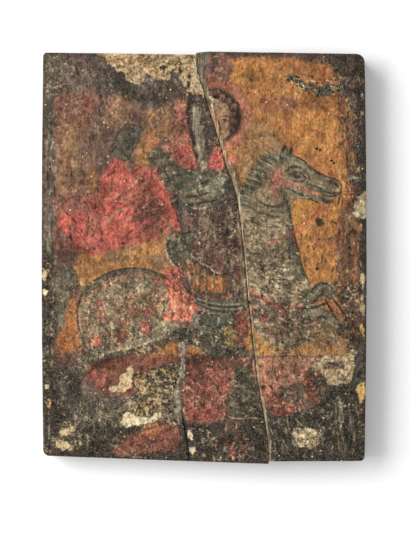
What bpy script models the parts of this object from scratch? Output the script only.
"""Painted icon panel: one old board that split along its grain, rejoined with a slip.

The panel lies on its back. X runs across the picture, Y up the picture and Z out of it.
The origin is the middle of the underside. Sizes are in metres.
"""

import math

import bmesh
import bpy
from mathutils import Vector

# Overall sizes of the rejoined panel.
PANEL_WIDTH = 0.260
PANEL_HEIGHT = 0.330
BOARD_THICKNESS = 0.022

# The split: how the right-hand board sits against the left-hand one.
SPLIT_SLIP = 0.0022
SPLIT_STEP = 0.0012
SPLIT_GAP = 0.0003

# Worn edges.
FACE_ARRIS = 0.0018
BACK_ARRIS = 0.0010
CORNER_TOP_LEFT = 0.0032
CORNER_FOOT_LEFT = 0.0050
CORNER_TOP_RIGHT = 0.0070
CORNER_FOOT_RIGHT = 0.0036
CORNER_SPLIT_FOOT = 0.0014
CORNER_SPLIT_TOP = 0.0022

# How far the hand-cut outline falls short of a true rectangle.
TOP_LEFT_RISE = 0.0016
FOOT_LEFT_RISE = 0.0066
TOP_RIGHT_DROP = 0.0019
TOP_SPLIT_DROP = 0.0009
FOOT_RIGHT_DROP = 0.0004
LEFT_SIDE_BOW = 0.0013
RIGHT_SIDE_BOW = 0.0016

# The painted ground and the damage cut into it.
GROUND_DEPTH = 0.0006
WOOD_DEPTH = 0.0013
CRACK_DEPTH = 0.0018
CRACK_WIDTH = 0.0030
WORM_RADIUS = 0.0009
WORM_DEPTH = 0.0060
CUTTER_RISE = 0.0040

ARC_STEPS = 6
EDGE_STEPS = 8
SEAM_STEPS = 4
WORM_SIDES = 10

# The split from foot to top: share of the height, and share of the width from the left side.
SEAM = (
    (0.00, 0.701),
    (0.06, 0.696),
    (0.13, 0.682),
    (0.21, 0.664),
    (0.30, 0.651),
    (0.42, 0.634),
    (0.52, 0.622),
    (0.62, 0.607),
    (0.67, 0.594),
    (0.72, 0.570),
    (0.77, 0.552),
    (0.84, 0.524),
    (0.90, 0.500),
    (0.96, 0.480),
    (1.00, 0.472),
)

# Damage outlines: share of the width from the left side, share of the height from the foot.
TOP_LOSS = (
    (0.19, 1.03), (0.185, 0.975), (0.215, 0.945), (0.255, 0.920), (0.300, 0.917),
    (0.325, 0.940), (0.350, 0.922), (0.385, 0.926), (0.412, 0.952), (0.438, 0.918),
    (0.462, 0.902), (0.482, 0.906), (0.470, 0.950), (0.462, 1.03),
)
GOUGE = (
    (0.462, 0.897), (0.490, 0.893), (0.508, 0.850), (0.532, 0.785), (0.532, 0.748),
    (0.512, 0.715), (0.490, 0.708), (0.474, 0.745), (0.456, 0.805), (0.446, 0.850),
)
LEG_LOSS = (
    (0.285, 0.212), (0.330, 0.228), (0.420, 0.248), (0.428, 0.200), (0.400, 0.150),
    (0.345, 0.120), (0.290, 0.104), (0.262, 0.118), (0.300, 0.160),
)
FOOT_LEFT_LOSS = (
    (0.050, 0.072), (0.115, 0.080), (0.130, 0.050), (0.080, 0.032), (0.046, 0.042),
)
FLANK_LOSS = (
    (0.835, 0.275), (0.880, 0.272), (0.925, 0.292), (0.952, 0.285), (0.938, 0.215),
    (0.900, 0.190), (0.855, 0.180), (0.828, 0.225),
)
FOOT_RIGHT_LOSS = (
    (0.775, 0.085), (0.830, 0.088), (0.860, 0.070), (0.840, 0.040), (0.790, 0.045),
)
SIDE_CHIP = (
    (1.02, 0.660), (0.985, 0.655), (0.962, 0.630), (0.958, 0.606), (0.985, 0.595), (1.02, 0.612),
)
# On the right-hand board the ground has broken away along the top of the split.
SEAM_WEDGE = (
    (0.440, 1.03), (0.505, 1.03), (0.500, 0.965), (0.503, 0.930), (0.520, 0.905),
    (0.530, 0.880), (0.543, 0.850), (0.550, 0.815), (0.566, 0.770), (0.560, 0.750),
    (0.520, 0.740), (0.440, 0.880),
)
CRACK = (
    (0.431, 0.290), (0.437, 0.235), (0.428, 0.170), (0.437, 0.105), (0.450, 0.045), (0.456, -0.02),
)
LEFT_WORMS = ((0.640, 0.392), (0.252, 0.535), (0.398, 0.128))
RIGHT_WORMS = ((0.847, 0.474), (0.678, 0.408), (0.847, 0.764), (0.892, 0.735), (0.742, 0.295))


def across(share):
    """X at a share of the panel's width from its left side."""
    return (share - 0.5) * PANEL_WIDTH


def up(share):
    """Y at a share of the panel's height from its foot."""
    return (share - 0.5) * PANEL_HEIGHT


def smooth_through(points, steps):
    """A Catmull-Rom curve through 2D points, both ends included."""
    padded = [points[0], *points, points[-1]]
    curve = []
    for i in range(1, len(padded) - 2):
        a, b, c, d = (Vector(p) for p in padded[i - 1:i + 3])
        for k in range(steps):
            t = k / steps
            curve.append(
                0.5 * (2 * b + (c - a) * t + (2 * a - 5 * b + 4 * c - d) * t ** 2
                       + (3 * b - a - 3 * c + d) * t ** 3)
            )
    curve.append(Vector(points[-1]))
    return curve


def beside(curve, distance):
    """The curve moved sideways, to its right as it is walked."""
    moved = []
    for i, point in enumerate(curve):
        ahead = curve[min(i + 1, len(curve) - 1)] - curve[max(i - 1, 0)]
        moved.append(point + Vector((ahead.y, -ahead.x)).normalized() * distance)
    return moved


def round_corner(before, corner, after, radius):
    """The arc that rounds one corner of an outline."""
    toward = (before - corner).normalized()
    away = (after - corner).normalized()
    half = toward.angle(away) / 2
    centre = corner + (toward + away).normalized() * (radius / math.sin(half))
    start = corner + toward * (radius / math.tan(half)) - centre
    turn = start.angle_signed(corner + away * (radius / math.tan(half)) - centre)
    return [
        centre + Vector((
            start.x * math.cos(-turn * k / ARC_STEPS) - start.y * math.sin(-turn * k / ARC_STEPS),
            start.x * math.sin(-turn * k / ARC_STEPS) + start.y * math.cos(-turn * k / ARC_STEPS),
        ))
        for k in range(ARC_STEPS + 1)
    ]


def bowed(start, end, bow):
    """Points strictly between two corners, on a shallow arch that stands out by bow at its middle."""
    out = Vector((end.y - start.y, start.x - end.x)).normalized()
    return [
        start.lerp(end, k / EDGE_STEPS) + out * bow * (1 - (2 * k / EDGE_STEPS - 1) ** 2)
        for k in range(1, EDGE_STEPS)
    ]


def seam_curve(side):
    """The split from foot to top, set back from its centre line by half the gap."""
    centre = smooth_through([(across(w), up(h)) for h, w in SEAM], SEAM_STEPS)
    return beside(centre, side * SPLIT_GAP / 2)


def cut_ends(curve, foot, top):
    """The part of the split between two heights, with a point on each."""
    kept = [p for p in curve if foot < p.y < top]
    ends = []
    for height in (foot, top):
        for a, b in zip(curve, curve[1:]):
            if a.y <= height <= b.y:
                ends.append(a.lerp(b, (height - a.y) / (b.y - a.y)))
                break
    return [ends[0], *kept, ends[-1]]


def left_outline():
    """The left-hand board, anticlockwise from the foot of the split."""
    seam = cut_ends(seam_curve(-1), -PANEL_HEIGHT / 2, PANEL_HEIGHT / 2 - SPLIT_SLIP)
    foot, top = seam[0], seam[-1]
    side = -PANEL_WIDTH / 2 + LEFT_SIDE_BOW
    top_left = Vector((side, top.y + TOP_LEFT_RISE))
    foot_left = Vector((side, -PANEL_HEIGHT / 2 + FOOT_LEFT_RISE))
    left_side = bowed(top_left, foot_left, LEFT_SIDE_BOW)
    points = round_corner(foot_left, foot, seam[2], CORNER_SPLIT_FOOT)
    points += [p for p in seam[1:] if (p - foot).length > CORNER_SPLIT_FOOT * 2]
    points += round_corner(top, top_left, left_side[0], CORNER_TOP_LEFT)
    points += left_side
    points += round_corner(left_side[-1], foot_left, foot, CORNER_FOOT_LEFT)
    return points


def right_outline():
    """The right-hand board, anticlockwise from its foot at the right side."""
    crest = PANEL_HEIGHT / 2
    seam = cut_ends(seam_curve(1), -PANEL_HEIGHT / 2 + SPLIT_SLIP, crest - TOP_SPLIT_DROP)
    foot, top = seam[0], seam[-1]
    side = PANEL_WIDTH / 2 - RIGHT_SIDE_BOW
    foot_right = Vector((side, foot.y + FOOT_RIGHT_DROP))
    top_right = Vector((side, crest - TOP_RIGHT_DROP))
    crest_point = Vector((top.x + CORNER_SPLIT_TOP * 5, crest))
    right_side = bowed(foot_right, top_right, RIGHT_SIDE_BOW)
    points = round_corner(foot, foot_right, right_side[0], CORNER_FOOT_RIGHT)
    points += right_side
    points += round_corner(right_side[-1], top_right, crest_point, CORNER_TOP_RIGHT)
    points.append(crest_point)
    points += round_corner(crest_point, top, seam[-3], CORNER_SPLIT_TOP)
    points += [p for p in reversed(seam[:-1]) if (p - top).length > CORNER_SPLIT_TOP * 2]
    return points


def collection(name):
    made = bpy.data.collections.new(name)
    bpy.context.scene.collection.children.link(made)
    return made


def flat_curve(name, points, half_height, level):
    """A filled flat outline as a curve object, level at its middle."""
    data = bpy.data.curves.new(name, "CURVE")
    data.dimensions = "2D"
    data.fill_mode = "BOTH"
    data.extrude = half_height
    spline = data.splines.new("POLY")
    spline.points.add(len(points) - 1)
    for target, point in zip(spline.points, points):
        target.co = (point[0], point[1], 0, 1)
    spline.use_cyclic_u = True
    obj = bpy.data.objects.new(name, data)
    obj.location.z = level
    return obj


def as_mesh(obj, into):
    """The curve's solid as a mesh object with its caps welded; the curve goes."""
    bpy.context.scene.collection.objects.link(obj)
    bpy.context.view_layer.update()
    graph = bpy.context.evaluated_depsgraph_get()
    data = bpy.data.meshes.new_from_object(obj.evaluated_get(graph))
    data.transform(obj.matrix_world)
    name = obj.name
    bpy.data.objects.remove(obj)
    bm = bmesh.new()
    bm.from_mesh(data)
    bmesh.ops.remove_doubles(bm, verts=bm.verts, dist=0.00001)
    bmesh.ops.recalc_face_normals(bm, faces=bm.faces)
    bm.to_mesh(data)
    bm.free()
    solid = bpy.data.objects.new(name, data)
    into.objects.link(solid)
    return solid


def wear_edges(solid, thickness, seam_points):
    """Rounds the outer edges of the face and the back, and leaves the split's own edges crisp."""
    bm = bmesh.new()
    bm.from_mesh(solid.data)

    def on_seam(vert):
        return any((vert.co.xy - p).length < SPLIT_GAP for p in seam_points)

    for height, width, steps in ((thickness, FACE_ARRIS, 3), (0.0, BACK_ARRIS, 2)):
        rim = [
            e for e in bm.edges
            if all(abs(v.co.z - height) < 1e-6 for v in e.verts)
            and any(abs(f.normal.z) < 0.5 for f in e.link_faces)
            and not all(on_seam(v) for v in e.verts)
        ]
        bmesh.ops.bevel(bm, geom=rim, offset=width, segments=steps, profile=0.5,
                        affect="EDGES", clamp_overlap=True)
    bm.to_mesh(solid.data)
    bm.free()


def cutter(name, shares, depth, face_level, cutters):
    """A closed block over a damage outline, from the given depth up past the face."""
    outline = smooth_through([(across(w), up(h)) for w, h in (*shares, shares[0])], 2)[:-1]
    half = (depth + CUTTER_RISE) / 2
    block = as_mesh(flat_curve(name, outline, half, face_level - depth + half), cutters)
    return hide_cutter(block)


def hide_cutter(block):
    block.hide_render = True
    block.display_type = "WIRE"
    return block


def crack_cutter(face_level, cutters):
    """A tapering round-bottomed split that opens toward the foot of the board."""
    data = bpy.data.curves.new("crack", "CURVE")
    data.dimensions = "3D"
    data.bevel_depth = CRACK_WIDTH / 2
    data.bevel_resolution = 1
    data.use_fill_caps = True
    path = smooth_through([(across(w), up(h)) for w, h in CRACK], 3)
    spline = data.splines.new("POLY")
    spline.points.add(len(path) - 1)
    for i, (target, point) in enumerate(zip(spline.points, path)):
        opened = i / (len(path) - 1)
        target.radius = 0.45 + 0.55 * opened
        depth = CRACK_DEPTH - CRACK_WIDTH / 2 * target.radius
        target.co = (point.x, point.y, face_level - depth * (0.6 + 0.4 * opened), 1)
    return hide_cutter(as_mesh(bpy.data.objects.new("crack", data), cutters))


def worm_cutter(name, spot, face_level, cutters):
    """One beetle's flight hole."""
    bm = bmesh.new()
    bmesh.ops.create_cone(bm, cap_ends=True, segments=WORM_SIDES, radius1=WORM_RADIUS,
                          radius2=WORM_RADIUS, depth=WORM_DEPTH * 2)
    data = bpy.data.meshes.new(name)
    bm.to_mesh(data)
    bm.free()
    block = bpy.data.objects.new(name, data)
    block.location = (across(spot[0]), up(spot[1]), face_level)
    cutters.objects.link(block)
    return hide_cutter(block)


def cut(solid, blocks):
    for block in blocks:
        step = solid.modifiers.new(block.name, "BOOLEAN")
        step.operation = "DIFFERENCE"
        step.object = block


def paint(solid, name, colour, roughness):
    material = bpy.data.materials.new(name)
    material.use_nodes = True
    shader = material.node_tree.nodes["Principled BSDF"]
    shader.inputs["Base Color"].default_value = (*colour, 1)
    shader.inputs["Roughness"].default_value = roughness
    shader.inputs["Metallic"].default_value = 0
    solid.data.materials.append(material)


def board(name, outline, thickness, losses, wood_losses, worms, parts, cutters):
    """One board with its worn edges, its losses of ground and its worm holes."""
    seam_points = [p for side in (-1, 1) for p in seam_curve(side)]
    solid = as_mesh(flat_curve(name, outline, thickness / 2, thickness / 2), parts)
    wear_edges(solid, thickness, seam_points)
    blocks = [cutter(label, shape, GROUND_DEPTH, thickness, cutters) for label, shape in losses]
    blocks += [cutter(label, shape, WOOD_DEPTH, thickness, cutters) for label, shape in wood_losses]
    for i, spot in enumerate(worms):
        blocks.append(worm_cutter(f"{name}_worm_{i + 1}", spot, thickness, cutters))
    cut(solid, blocks)
    return solid


def build():
    for obj in list(bpy.data.objects):
        bpy.data.objects.remove(obj)
    parts = collection("icon_panel")
    cutters = collection("cutters")
    left = board(
        "board_left", left_outline(), BOARD_THICKNESS,
        (("top_loss", TOP_LOSS), ("leg_loss", LEG_LOSS), ("foot_left_loss", FOOT_LEFT_LOSS)),
        (("gouge", GOUGE),), LEFT_WORMS, parts, cutters,
    )
    cut(left, [crack_cutter(BOARD_THICKNESS, cutters)])
    paint(left, "left_paint", (0.30, 0.17, 0.10), 0.62)
    right = board(
        "board_right", right_outline(), BOARD_THICKNESS + SPLIT_STEP,
        (("flank_loss", FLANK_LOSS), ("foot_right_loss", FOOT_RIGHT_LOSS), ("side_chip", SIDE_CHIP)),
        (("seam_wedge", SEAM_WEDGE),), RIGHT_WORMS, parts, cutters,
    )
    paint(right, "right_paint", (0.46, 0.25, 0.10), 0.58)


build()
